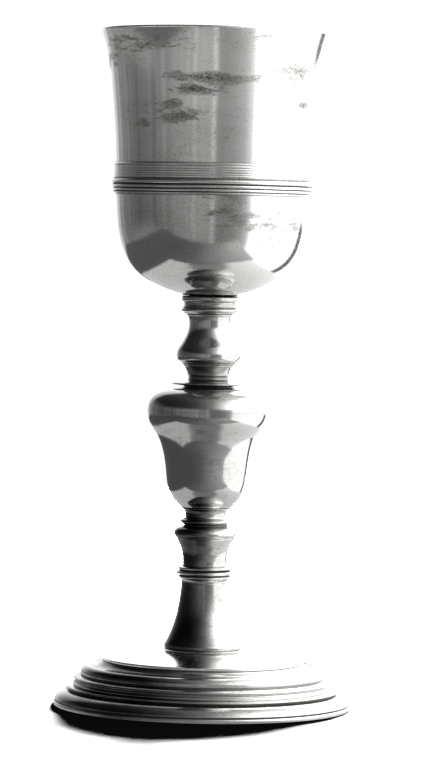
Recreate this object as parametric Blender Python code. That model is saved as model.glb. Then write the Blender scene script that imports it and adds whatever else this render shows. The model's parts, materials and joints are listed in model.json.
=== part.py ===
"""A silver altar cup: a raised bowl on a stack of turned stem pieces and a stepped round foot.

The stack is bored through and held together by a threaded tie rod. The rod screws up into a
socket in the top of the stem and is drawn tight by a square nut under the foot. A boss soldered
under the bowl carries its own threaded spigot, so the bowl unscrews from the top of the socket.

Outlines are (radius, height) pairs in millimetres and run down the outer side, then back up the
inner one. The origin is the centre of the foot's underside, with +Z up the axis.
"""

import math

import bmesh
import bpy

MM = 0.001
MERGE = 1e-7

# Driving dimensions, in millimetres.
HEIGHT = 270.8
MOUTH_R = 46.7
KNOP_R = 24.4
FOOT_R = 59.8
BOWL_WALL = 1.15
SHELL_WALL = 1.4
GAP = 0.3

# The screwed fixings.
THREAD_R = 3.0
NUT_BORE_R = 3.4
SOCKET_BORE_R = 3.5
STACK_BORE_R = 3.6
SOCKET_R = 5.2
SOCKET_WELL_R = 5.8
HEAD_R = 8.2
HEAD_WELL_R = 8.6

# Undersides of the pieces, from the foot up.
RIM_TOP = 1.8
SKIRT_TOP = 7.9
STEP_TOP = 12.0
SHOULDER_TOP = 18.0
PLATE_TOP = 23.2
TRUMPET_TOP = 49.9
RINGS_TOP = 56.4
LOWER_KNOP_TOP = 72.6
NECK_TOP = 80.2
KNOP_SEAM = 118.9
KNOP_TOP = 128.6
FLANGE_TOP = 131.0
BALUSTER_RING_TOP = 138.1
BALUSTER_TOP = 156.6
FILLET_TOP = 157.7
COLLAR_TOP = 164.0

# Facets round the axis.
WIDE_FACETS = 32
STEM_FACETS = 20
CURVE_STEPS = 2

SILVER = (0.82, 0.81, 0.78)
BRASS = (0.72, 0.55, 0.29)
LEATHER = (0.22, 0.13, 0.08)


def clear_scene():
    """Remove every object that the scene holds."""
    for obj in list(bpy.data.objects):
        bpy.data.objects.remove(obj, do_unlink=True)


def surface(name, colour, metallic, roughness):
    """A Principled BSDF material for one piece."""
    material = bpy.data.materials.new(name)
    material.use_nodes = True
    shader = material.node_tree.nodes["Principled BSDF"]
    shader.inputs["Base Color"].default_value = (*colour, 1.0)
    shader.inputs["Metallic"].default_value = metallic
    shader.inputs["Roughness"].default_value = roughness
    return material


def arc(centre, radius, start_deg, end_deg, steps=3):
    """Points of a round moulding, turning about its centre from one angle to another."""
    points = []
    for i in range(steps + 1):
        angle = math.radians(start_deg + (end_deg - start_deg) * i / steps)
        points.append((centre[0] + radius * math.cos(angle), centre[1] + radius * math.sin(angle)))
    return points


def curve(*points, steps=CURVE_STEPS):
    """A smooth curve through the given points, with the same number of steps in each span."""
    knots = [0.0]
    for a, b in zip(points, points[1:]):
        knots.append(knots[-1] + math.dist(a, b))
    last = len(points) - 1

    def slope(i, k):
        low, high = max(i - 1, 0), min(i + 1, last)
        return (points[high][k] - points[low][k]) / (knots[high] - knots[low])

    found = [points[0]]
    for i in range(last):
        span = knots[i + 1] - knots[i]
        for step in range(1, steps + 1):
            t = step / steps
            weights = (
                2 * t**3 - 3 * t**2 + 1,
                span * (t**3 - 2 * t**2 + t),
                3 * t**2 - 2 * t**3,
                span * (t**3 - t**2),
            )
            found.append(
                tuple(
                    weights[0] * points[i][k]
                    + weights[1] * slope(i, k)
                    + weights[2] * points[i + 1][k]
                    + weights[3] * slope(i + 1, k)
                    for k in range(2)
                )
            )
    return found


def inset(points, wall):
    """The outline moved inwards by a wall's thickness, returned from its foot to its top."""
    moved = []
    for i, (r, z) in enumerate(points):
        before, after = points[max(i - 1, 0)], points[min(i + 1, len(points) - 1)]
        along = (after[0] - before[0], after[1] - before[1])
        length = math.hypot(*along)
        moved.append((r + wall * along[1] / length, z - wall * along[0] / length))
    return moved[::-1]


def add_object(name, bm, material):
    """Put the finished mesh in the scene, shaded smooth with its hard edges kept."""
    bmesh.ops.recalc_face_normals(bm, faces=bm.faces)
    mesh = bpy.data.meshes.new(name)
    bm.to_mesh(mesh)
    bm.free()
    mesh.shade_smooth()
    mesh.set_sharp_from_angle(angle=math.radians(35))
    mesh.materials.append(material)
    obj = bpy.data.objects.new(name, mesh)
    bpy.context.scene.collection.objects.link(obj)
    return obj


def turned(name, outline, material, facets=STEM_FACETS):
    """Turn an outline about +Z. One that starts on the axis is solid, and any other is a ring."""
    bm = bmesh.new()
    verts = [bm.verts.new((r * MM, 0.0, z * MM)) for r, z in outline]
    edges = [bm.edges.new(pair) for pair in zip(verts, verts[1:])]
    if outline[0][0] > 0:
        edges.append(bm.edges.new((verts[-1], verts[0])))
    bmesh.ops.spin(
        bm,
        geom=verts + edges,
        cent=(0, 0, 0),
        axis=(0, 0, 1),
        angle=2 * math.pi,
        steps=facets,
        use_merge=True,
    )
    bmesh.ops.remove_doubles(bm, verts=bm.verts, dist=MERGE)
    return add_object(name, bm, material)


def silver(name, roughness=0.2):
    return surface(name, SILVER, 1.0, roughness)


def bore(outline, radius=STACK_BORE_R):
    """The straight hole up through a stem piece, which closes the piece's outline."""
    return [(radius, outline[-1][1]), (radius, outline[0][1])]


# The bowl and what is soldered to it.

BOWL_OUTSIDE = [
    *curve((MOUTH_R, HEIGHT), (44.2, 263.6), (42.4, 255.6), (41.5, 247.6)),
    (40.4, 236.0),
    (39.3, 222.0),
    (39.1, 205.0),
    (38.4, 196.0),
    *curve((37.2, 188.6), (34.3, 179.6), (31.2, 175.0), (26.8, 171.6), (20.4, 167.9)),
    (10.4, 164.7),
    (0.0, COLLAR_TOP + GAP),
]


def cup_bowl():
    """The raised bowl: flared at the lip, nearly straight down to a rounded bottom."""
    inside = inset(BOWL_OUTSIDE, BOWL_WALL)
    inside[0] = (0.0, inside[0][1])
    inside[-1] = (MOUTH_R - BOWL_WALL, HEIGHT)
    outline = inside + BOWL_OUTSIDE
    turned("cup_bowl", outline, silver("cup_bowl", 0.16), WIDE_FACETS)


def cup_girdle():
    """The reeded band applied round the bowl, clear of its wall by the soldering gap."""
    seat_r = 39.5
    outline = [
        (39.9, 217.4),
        (40.1, 216.8),
        (39.9, 216.2),
        (40.0, 211.4),
        *arc((39.9, 210.0), 0.9, 80, -80, 4),
        (40.1, 208.4),
        (40.4, 207.2),
        (39.9, 205.2),
        (seat_r, 205.2),
        (seat_r, 217.4),
    ]
    turned("cup_girdle", outline, silver("cup_girdle", 0.22), WIDE_FACETS)


BOSS_TOP = COLLAR_TOP
BOSS_FOOT = 162.2
SPIGOT_END = 150.4


def bowl_boss():
    """The disc soldered under the bowl, with the threaded spigot below it."""
    outline = [
        (0.0, BOSS_TOP),
        (HEAD_R, BOSS_TOP),
        (HEAD_R, BOSS_FOOT),
        (THREAD_R, BOSS_FOOT),
        (THREAD_R, SPIGOT_END + 0.6),
        (THREAD_R - 0.6, SPIGOT_END),
        (0.0, SPIGOT_END),
    ]
    turned("bowl_boss", outline, surface("bowl_boss", BRASS, 1.0, 0.35))


def seat_washer():
    """The leather ring between the bowl's boss and the head of the stem's socket."""
    top, foot = BOSS_FOOT - GAP, 161.0
    outline = [(HEAD_R - 0.3, top), (HEAD_R - 0.3, foot), (STACK_BORE_R, foot), (STACK_BORE_R, top)]
    turned("seat_washer", outline, surface("seat_washer", LEATHER, 0.0, 0.8))


# The hidden fixings.

SOCKET_HEAD_TOP = 160.7
SOCKET_HEAD_FOOT = 159.4
SOCKET_END = 140.0
ROD_TOP = 148.4
ROD_END = 11.0


def stem_socket():
    """The tapped sleeve whose head clamps the stack, with the bowl above and the rod below."""
    outline = [
        (HEAD_R, SOCKET_HEAD_TOP),
        (HEAD_R, SOCKET_HEAD_FOOT),
        (SOCKET_R, SOCKET_HEAD_FOOT),
        (SOCKET_R, SOCKET_END),
    ]
    turned(
        "stem_socket",
        outline + bore(outline, SOCKET_BORE_R),
        surface("stem_socket", BRASS, 1.0, 0.35),
    )


def tie_rod():
    """The threaded rod, chamfered at both ends, from the socket down to the foot's hollow."""
    chamfer = 0.6
    outline = [
        (0.0, ROD_TOP),
        (THREAD_R - chamfer, ROD_TOP),
        (THREAD_R, ROD_TOP - chamfer),
        (THREAD_R, ROD_END + chamfer),
        (THREAD_R - chamfer, ROD_END),
        (0.0, ROD_END),
    ]
    turned("tie_rod", outline, surface("tie_rod", BRASS, 1.0, 0.35))


WASHER_TOP = 21.7
WASHER_FOOT = 20.2
WASHER_R = 13.5


def foot_washer():
    """The broad plate washer that bears up against the foot."""
    edge = 0.4
    outline = [
        (WASHER_R - edge, WASHER_TOP),
        (WASHER_R, WASHER_TOP - edge),
        (WASHER_R, WASHER_FOOT + edge),
        (WASHER_R - edge, WASHER_FOOT),
    ]
    turned(
        "foot_washer",
        outline + bore(outline),
        surface("foot_washer", BRASS, 1.0, 0.4),
    )


def tie_nut():
    """The square nut: a bevelled block with its bore cut by a round cutter."""
    across_flats = 11.0
    height = 4.3
    centre_z = WASHER_FOOT - GAP - height / 2
    bm = bmesh.new()
    bmesh.ops.create_cube(bm, size=1.0)
    bmesh.ops.scale(bm, vec=(across_flats * MM, across_flats * MM, height * MM), verts=bm.verts)
    bmesh.ops.bevel(bm, geom=bm.edges[:], offset=0.5 * MM, segments=1, affect="EDGES")
    bmesh.ops.translate(bm, vec=(0, 0, centre_z * MM), verts=bm.verts)
    nut = add_object("tie_nut", bm, surface("tie_nut", BRASS, 1.0, 0.35))

    cutter_bm = bmesh.new()
    bmesh.ops.create_cone(
        cutter_bm,
        cap_ends=True,
        segments=STEM_FACETS,
        radius1=NUT_BORE_R * MM,
        radius2=NUT_BORE_R * MM,
        depth=3 * height * MM,
    )
    bmesh.ops.translate(cutter_bm, vec=(0, 0, centre_z * MM), verts=cutter_bm.verts)
    cutter = add_object("tie_nut_cutter", cutter_bm, nut.data.materials[0])
    cutter.hide_render = True
    cutter.display_type = "WIRE"
    cut = nut.modifiers.new("bore", "BOOLEAN")
    cut.operation = "DIFFERENCE"
    cut.solver = "EXACT"
    cut.object = cutter


# The stem, from the bowl down.


def upper_collar():
    """The waisted collar under the bowl, counterbored for the boss and the socket's head."""
    foot = FILLET_TOP + GAP
    floor = SOCKET_HEAD_FOOT - GAP
    outline = [
        (10.8, COLLAR_TOP),
        (11.6, COLLAR_TOP - 0.4),
        (11.5, 163.1),
        *curve((10.7, 162.6), (10.5, 161.6), (10.8, 160.4)),
        (11.5, 159.9),
        (11.6, 158.8),
        (11.0, foot),
        (SOCKET_WELL_R, foot),
        (SOCKET_WELL_R, floor),
        (HEAD_WELL_R, floor),
        (HEAD_WELL_R, COLLAR_TOP),
    ]
    turned("upper_collar", outline, silver("upper_collar"))


def upper_fillet():
    """The thin ring between the collar and the baluster."""
    foot = BALUSTER_TOP + GAP
    outline = [
        (9.1, FILLET_TOP),
        (9.4, (FILLET_TOP + foot) / 2),
        (9.1, foot),
        (SOCKET_WELL_R, foot),
        (SOCKET_WELL_R, FILLET_TOP),
    ]
    turned("upper_fillet", outline, silver("upper_fillet"))


def upper_baluster():
    """The pear-shaped piece, narrow above and full below."""
    foot = BALUSTER_RING_TOP + GAP
    outline = [
        *curve((8.6, BALUSTER_TOP), (8.25, 153.0), (9.2, 149.6), (11.7, 145.4), (13.05, 141.6)),
        *curve((12.8, 139.6), (11.4, foot), steps=1),
    ]
    outline += bore(outline, SOCKET_WELL_R)
    turned("upper_baluster", outline, silver("upper_baluster"))


def baluster_ring():
    """The hollowed moulding under the baluster."""
    foot = FLANGE_TOP + GAP
    outline = [
        (10.8, BALUSTER_RING_TOP),
        (10.3, 137.0),
        *curve((9.6, 136.2), (8.6, 134.0), (8.0, 131.9)),
        (8.3, foot),
    ]
    turned("baluster_ring", outline + bore(outline), silver("baluster_ring"))


def stem_flange():
    """The thin sharp-edged disc above the knop."""
    foot = KNOP_TOP + GAP
    outline = [
        (9.4, FLANGE_TOP),
        (14.3, 130.2),
        (14.8, 129.7),
        (14.2, 129.2),
        (9.9, foot),
    ]
    turned("stem_flange", outline + bore(outline), silver("stem_flange"))


def knop_cap():
    """The raised upper half of the knop, a shell with a short neck."""
    shoulder = [
        *curve((16.8, 127.6), (20.9, 125.9), (23.4, 123.0), (KNOP_R, 119.6)),
        (KNOP_R, KNOP_SEAM + GAP),
    ]
    inside = inset(shoulder, SHELL_WALL)
    inside[0] = (KNOP_R - SHELL_WALL, KNOP_SEAM + GAP)
    outline = [
        (9.6, KNOP_TOP),
        (9.6, 128.1),
        *shoulder,
        *inside,
        (STACK_BORE_R, 126.3),
        (STACK_BORE_R, KNOP_TOP),
    ]
    turned("knop_cap", outline, silver("knop_cap", 0.18))


def knop_body():
    """The raised lower half of the knop, an urn that narrows to its foot."""
    foot = NECK_TOP + GAP
    wall = [
        *curve((KNOP_R, KNOP_SEAM), (24.1, 115.0), (21.6, 111.4), (19.0, 107.2), (17.6, 102.0)),
        (16.7, 95.6),
        (15.8, 89.0),
        (13.8, 84.4),
        (10.8, foot),
    ]
    inside = inset(wall, SHELL_WALL)
    inside[0] = (STACK_BORE_R, foot + 1.5)
    inside[-1] = (KNOP_R - SHELL_WALL, KNOP_SEAM)
    outline = [*wall, (STACK_BORE_R, foot), *inside]
    turned("knop_body", outline, silver("knop_body", 0.18))


def neck_collar():
    """The waisted collar under the knop, with a lip above and below."""
    foot = LOWER_KNOP_TOP + GAP
    outline = [
        (9.7, NECK_TOP),
        (9.9, 79.4),
        *curve((8.9, 78.6), (8.2, 77.4), (8.2, 76.2), (8.8, 75.2)),
        (10.1, 74.5),
        (10.0, 73.8),
        (8.9, foot),
    ]
    turned("neck_collar", outline + bore(outline), silver("neck_collar"))


def lower_knop():
    """The small knop: a round ring over a long hollowed neck."""
    foot = RINGS_TOP + GAP
    outline = [
        (9.0, LOWER_KNOP_TOP),
        *curve((11.2, 71.9), (12.7, 70.0), (12.1, 68.4)),
        (11.7, 67.4),
        (10.3, 65.2),
        (9.2, 62.0),
        (8.8, 58.4),
        (8.9, foot),
    ]
    turned("lower_knop", outline + bore(outline), silver("lower_knop"))


def ring_collar():
    """Three close rings, the middle one the widest."""
    foot = TRUMPET_TOP + GAP
    outline = [
        (9.9, RINGS_TOP),
        *arc((10.3, 55.4), 0.6, 80, -80, 2),
        *arc((10.5, 53.8), 0.9, 80, -80, 2),
        *arc((9.8, 52.1), 0.6, 80, -80, 2),
        (9.3, foot),
    ]
    turned("ring_collar", outline + bore(outline), silver("ring_collar"))


def trumpet_stem():
    """The stem's hollow foot, spreading downwards to its seat on the foot plate."""
    foot = PLATE_TOP + GAP
    wall = [
        (9.3, TRUMPET_TOP),
        (9.7, 44.6),
        (10.8, 37.6),
        (12.8, 31.6),
        (14.2, 27.6),
        (15.5, 25.4),
        (15.8, foot),
    ]
    inside = inset(wall, SHELL_WALL)
    inside[0] = (15.8 - SHELL_WALL, foot)
    inside[-1] = (9.3 - SHELL_WALL, TRUMPET_TOP - 2)
    outline = [*wall, *inside, (STACK_BORE_R, TRUMPET_TOP - 2), (STACK_BORE_R, TRUMPET_TOP)]
    turned("trumpet_stem", outline, silver("trumpet_stem", 0.18))


# The foot, from its top plate down to the base wire.


def foot_plate():
    """The slightly domed top of the foot, which ends in a small upright fillet."""
    edge_r, edge_z = 40.3, 19.5
    top = [
        (STACK_BORE_R, PLATE_TOP),
        (16.4, PLATE_TOP),
        (24.0, 22.6),
        (32.0, 21.2),
        (edge_r, edge_z),
    ]
    foot = SHOULDER_TOP + GAP
    underside = [
        (edge_r, foot),
        (edge_r - 1.2, foot),
        (32.0, 19.9),
        (24.0, 21.3),
        (16.4, PLATE_TOP - 1.2),
        (STACK_BORE_R, PLATE_TOP - 1.2),
    ]
    turned("foot_plate", top + underside, silver("foot_plate", 0.2), WIDE_FACETS)


def foot_shoulder():
    """The foot's upper step: a hollow running out to a quarter-round."""
    foot = STEP_TOP + GAP
    wall = [
        (40.6, SHOULDER_TOP),
        *curve((40.8, 17.4), (42.8, 16.4), (46.4, 15.9)),
        *arc((46.6, 13.4), 2.4, 70, 0, 3),
        (49.0, foot),
    ]
    inside = [
        (47.4, foot),
        (47.3, 13.4),
        (46.2, 14.5),
        (42.4, 14.9),
        (39.4, 16.3),
        (38.8, SHOULDER_TOP),
    ]
    turned("foot_shoulder", wall + inside, silver("foot_shoulder", 0.2), WIDE_FACETS)


def foot_step():
    """The moulded wire round the middle of the foot, with a groove between two edges."""
    foot = SKIRT_TOP + GAP
    outline = [
        (49.4, STEP_TOP),
        (50.9, 11.6),
        (51.8, 10.8),
        (51.2, 10.2),
        (51.2, 9.2),
        (51.9, 8.8),
        (51.9, foot),
        (47.4, foot),
        (47.4, STEP_TOP),
    ]
    turned("foot_step", outline, silver("foot_step", 0.22), WIDE_FACETS)


def foot_skirt():
    """The spreading lower part of the foot: a lip, a hollow and a broad quarter-round."""
    foot = RIM_TOP + GAP
    outline = [
        (54.2, SKIRT_TOP),
        (54.7, 7.5),
        (53.7, 6.6),
        *curve((54.3, 6.3), (57.6, 5.0), (59.2, 3.0), (59.3, foot)),
        (57.7, foot),
        (56.4, 3.4),
        (52.6, 5.6),
        (47.4, 6.3),
        (47.4, SKIRT_TOP),
    ]
    turned("foot_skirt", outline, silver("foot_skirt", 0.2), WIDE_FACETS)


def foot_rim():
    """The plain base wire that the cup stands on."""
    half = RIM_TOP / 2
    outline = [
        (FOOT_R - 0.6, RIM_TOP),
        (FOOT_R, half + 0.4),
        (FOOT_R, half - 0.4),
        (FOOT_R - 0.6, 0.0),
        (56.2, 0.0),
        (56.2, RIM_TOP),
    ]
    turned("foot_rim", outline, silver("foot_rim", 0.25), WIDE_FACETS)


clear_scene()
for piece in (
    cup_bowl,
    cup_girdle,
    bowl_boss,
    seat_washer,
    stem_socket,
    tie_rod,
    upper_collar,
    upper_fillet,
    upper_baluster,
    baluster_ring,
    stem_flange,
    knop_cap,
    knop_body,
    neck_collar,
    lower_knop,
    ring_collar,
    trumpet_stem,
    foot_plate,
    foot_shoulder,
    foot_step,
    foot_skirt,
    foot_rim,
    foot_washer,
    tie_nut,
):
    piece()
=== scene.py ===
"""A silver altar cup on a pale floor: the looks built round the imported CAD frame.

Outlines are (radius, height) pairs in millimetres. Each one is fitted to the box of the CAD node
that its piece stands for, so every piece sits where the frame says.
"""

import json
import math

import bmesh
import bpy
import numpy as np
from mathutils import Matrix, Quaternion, Vector


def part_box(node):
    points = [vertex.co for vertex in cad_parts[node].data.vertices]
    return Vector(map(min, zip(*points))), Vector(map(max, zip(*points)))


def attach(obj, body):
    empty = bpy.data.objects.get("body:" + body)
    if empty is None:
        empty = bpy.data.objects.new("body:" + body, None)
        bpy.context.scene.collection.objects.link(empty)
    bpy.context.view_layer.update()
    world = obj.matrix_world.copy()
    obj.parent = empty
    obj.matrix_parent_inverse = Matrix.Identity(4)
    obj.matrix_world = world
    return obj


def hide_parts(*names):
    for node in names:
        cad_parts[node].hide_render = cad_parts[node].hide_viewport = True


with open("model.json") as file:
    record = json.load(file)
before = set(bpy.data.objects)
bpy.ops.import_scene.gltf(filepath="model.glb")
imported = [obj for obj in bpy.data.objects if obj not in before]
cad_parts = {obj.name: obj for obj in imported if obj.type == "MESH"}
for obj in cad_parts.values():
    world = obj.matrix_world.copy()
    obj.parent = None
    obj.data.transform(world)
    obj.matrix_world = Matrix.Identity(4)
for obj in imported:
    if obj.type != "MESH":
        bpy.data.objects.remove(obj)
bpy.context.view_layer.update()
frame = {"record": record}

MM = 0.001
# The gap that the CAD keeps below a stem piece, and the thickness of the walls, in millimetres.
GAP = 0.3
BOWL_WALL = 1.15
SHELL_WALL = 1.4
# Segments round the bowl and foot, a stem piece, a small ring, and a threaded or square piece.
WIDE = 224
SLIM = 144
SMALL = 72
THREADED = 48
SQUARE = 64
# An edge that bends by more than this is shaded as a sharp one.
SHARP = math.radians(34)
# Lengths below this are taken as nothing, in an outline's or a mesh's own units.
TINY = 1e-6


# ---------------------------------------------------------------- outlines


def spline(points, step=0.6):
    """A natural cubic curve through the points, read about every step millimetres."""
    p = np.array(points, float)
    t = np.concatenate([[0], np.cumsum(np.linalg.norm(np.diff(p, axis=0), axis=1))])
    h = np.diff(t)
    n = len(p)
    a = np.eye(n)
    b = np.zeros((n, 2))
    for i in range(1, n - 1):
        a[i, i - 1 : i + 2] = h[i - 1], 2 * (h[i - 1] + h[i]), h[i]
        b[i] = 6 * ((p[i + 1] - p[i]) / h[i] - (p[i] - p[i - 1]) / h[i - 1])
    m = np.linalg.solve(a, b)
    s = np.linspace(0, t[-1], max(3, int(round(t[-1] / step)) + 1))
    k = np.clip(np.searchsorted(t, s, side="right") - 1, 0, n - 2)
    hk, u, v = h[k, None], (t[k + 1] - s)[:, None], (s - t[k])[:, None]
    found = (m[k] * u**3 + m[k + 1] * v**3) / (6 * hk)
    found += (p[k] / hk - m[k] * hk / 6) * u + (p[k + 1] / hk - m[k + 1] * hk / 6) * v
    return [tuple(x) for x in found]


def bead(r, top, foot, bulge, steps=8):
    """A round moulding that stands out by bulge between two heights."""
    middle, half = (top + foot) / 2, (top - foot) / 2
    angles = np.linspace(math.pi / 2, -math.pi / 2, steps + 1)
    return [(r + bulge * math.cos(x), middle + half * math.sin(x)) for x in angles]


def arc(r, z, radius, start, end, steps=8):
    """Part of a circle about (r, z), between two angles in degrees."""
    angles = np.radians(np.linspace(start, end, steps + 1))
    return [(r + radius * math.cos(x), z + radius * math.sin(x)) for x in angles]


def scored(r, top, foot, lines, depth=0.1, width=0.34):
    """A straight band cut with fine turned lines at the given heights."""
    found = [(r, top)]
    for z in lines:
        found += [(r, z + width / 2), (r - depth, z), (r, z - width / 2)]
    return found + [(r, foot)]


def inset(points, wall):
    """The outline moved inwards by a wall's thickness, returned from its foot to its top."""
    moved = []
    for i, (r, z) in enumerate(points):
        before, after = points[max(i - 1, 0)], points[min(i + 1, len(points) - 1)]
        along = (after[0] - before[0], after[1] - before[1])
        length = math.hypot(*along)
        moved.append((r + wall * along[1] / length, z - wall * along[0] / length))
    return moved[::-1]


# The knop's two halves are soldered and polished flush, so no corner is worn where they meet.
KNOP_SEAM = (24.4, 118.9)
SEAMLESS = tuple(Vector(KNOP_SEAM))
# A corner more open than this belongs to a curve and stays as it is.
OPEN_CORNER = math.radians(156)
# The most that one corner's round may take of the edge beside it.
LARGEST_SHARE = 0.42
ROUND_STEPS = (0.0, 0.33, 0.67, 1.0)


def soften(points, radius=0.16):
    """The closed outline with each hard corner worn to a small round."""
    p = [Vector(x) for x in points]
    found = []
    for i, here in enumerate(p):
        back, on = p[i - 1] - here, p[(i + 1) % len(p)] - here
        if back.length < TINY or on.length < TINY:
            continue
        if here.x < TINY or back.angle(on) > OPEN_CORNER or tuple(here) == SEAMLESS:
            found.append(tuple(here))
            continue
        cut = min(radius, LARGEST_SHARE * back.length, LARGEST_SHARE * on.length)
        a, b = here + back.normalized() * cut, here + on.normalized() * cut
        for t in ROUND_STEPS:
            found.append(tuple(a * (1 - t) ** 2 + here * 2 * t * (1 - t) + b * t**2))
    return found


def fitted(points, node, reach=0.0, rise=0.0):
    """The outline in metres, stretched by a hair so that it fills its CAD node's box.

    Reach and rise, in millimetres, take it on below and above the box. A stem piece reaches down
    over the gap that the CAD keeps below it, and the top collar rises to meet the bowl.
    """
    low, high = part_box(node)
    p = np.array(points, float)
    span = p[:, 1].min(), p[:, 1].max()
    foot = low.z - reach * MM
    z = foot + (p[:, 1] - span[0]) / (span[1] - span[0]) * (high.z + rise * MM - foot)
    return np.column_stack([p[:, 0] * high.x / p[:, 0].max(), z])


# ---------------------------------------------------------------- turned meshes

# Strength, waves round the wall, waves up it (radians a metre) and phase of its unevenness.
WAVES = (
    (1.0, 2, 0.0, 1.3),
    (0.55, 3, 41.0, 0.4),
    (0.32, 5, -73.0, 2.2),
    (0.2, 8, 127.0, 5.1),
    (0.1, 13, -211.0, 3.7),
)
# How near a wall shades a recess, how near one tells an edge, and what counts as the point itself.
RECESS_REACH = 1.1 * MM
EDGE_REACH = 0.9 * MM
ITSELF = 0.12 * MM


def wobble(theta, z, amount):
    """How far a hand-raised wall strays from a true circle, in metres."""
    return amount * sum(w * np.sin(n * theta + k * z + p) for w, n, k, p in WAVES)


def relief(outline, silhouette):
    """How deep in a recess, and how far out on an edge, each point of an outline lies."""
    tangent = np.gradient(outline, axis=0)
    normal = np.column_stack([-tangent[:, 1], tangent[:, 0]])
    normal /= np.maximum(np.linalg.norm(normal, axis=1, keepdims=True), 1e-12)
    recess, edge = np.zeros(len(outline)), np.zeros(len(outline))
    for i, here in enumerate(outline):
        d = silhouette - here
        far = np.linalg.norm(d, axis=1)
        rise = (d @ normal[i]) / np.maximum(far, 1e-9)
        side = np.sign(d @ np.array([normal[i][1], -normal[i][0]]))
        near = (far < RECESS_REACH) & (far > ITSELF)
        walls = [rise[near & (side == s)] for s in (-1, 1)]
        recess[i] = sum(max(0.0, float(w.max())) if len(w) else 0.0 for w in walls) / 2
        close = (far < EDGE_REACH) & (far > ITSELF)
        edge[i] = max(0.0, -float(rise[close].mean())) if close.any() else 0.0
    return recess, edge


def mesh_object(name, mesh):
    """An object for a finished mesh, smooth but for its sharp edges."""
    mesh.shade_smooth()
    mesh.set_sharp_from_angle(angle=SHARP)
    obj = bpy.data.objects.new(name, mesh)
    bpy.context.scene.collection.objects.link(obj)
    return obj


def store(mesh, label, values):
    """Keep one number for each vertex, for the material to read."""
    layer = mesh.attributes.new(label, "FLOAT", "POINT")
    layer.data.foreach_set("value", np.asarray(values, np.float32))


def lathe(name, outline, segments, stray=0.0, layers=None, closed=True):
    """Turn an outline in metres about +Z, closed or with its ends on the axis as poles."""
    theta = np.arange(segments) * 2 * math.pi / segments
    verts, rings, spread = [], [], []
    for i, (r, z) in enumerate(outline):
        if r < TINY:
            rings.append([len(verts)])
            verts.append((0.0, 0.0, z))
            spread.append(i)
            continue
        rr = r + wobble(theta, z, stray)
        rings.append(range(len(verts), len(verts) + segments))
        verts += zip(rr * np.cos(theta), rr * np.sin(theta), [z] * segments)
        spread += [i] * segments
    faces = []
    pairs = list(zip(rings, rings[1:])) + ([(rings[-1], rings[0])] if closed else [])
    for upper, lower in pairs:
        for j in range(segments):
            k = (j + 1) % segments
            if len(upper) == 1:
                faces.append((upper[0], lower[j], lower[k]))
            elif len(lower) == 1:
                faces.append((upper[j], lower[0], upper[k]))
            else:
                faces.append((upper[j], lower[j], lower[k], upper[k]))
    mesh = bpy.data.meshes.new(name)
    mesh.from_pydata([tuple(map(float, v)) for v in verts], [], faces)
    for label, values in (layers or {}).items():
        store(mesh, label, np.asarray(values)[spread])
    return mesh_object(name, mesh)


# ---------------------------------------------------------------- the silver pieces

BOWL = spline(
    [
        (46.7, 270.8), (45.5, 267.4), (44.2, 263.2), (42.8, 257.0), (41.75, 250.0),
        (40.85, 241.0), (40.05, 231.0), (39.4, 221.0), (39.05, 211.0), (38.85, 202.5),
        (38.3, 194.5), (36.9, 186.6), (34.5, 180.0), (31.0, 175.0), (26.4, 171.2),
        (20.4, 168.0), (13.6, 165.6), (6.6, 164.5), (0.0, 164.3),
    ],
    1.0,
)

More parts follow.
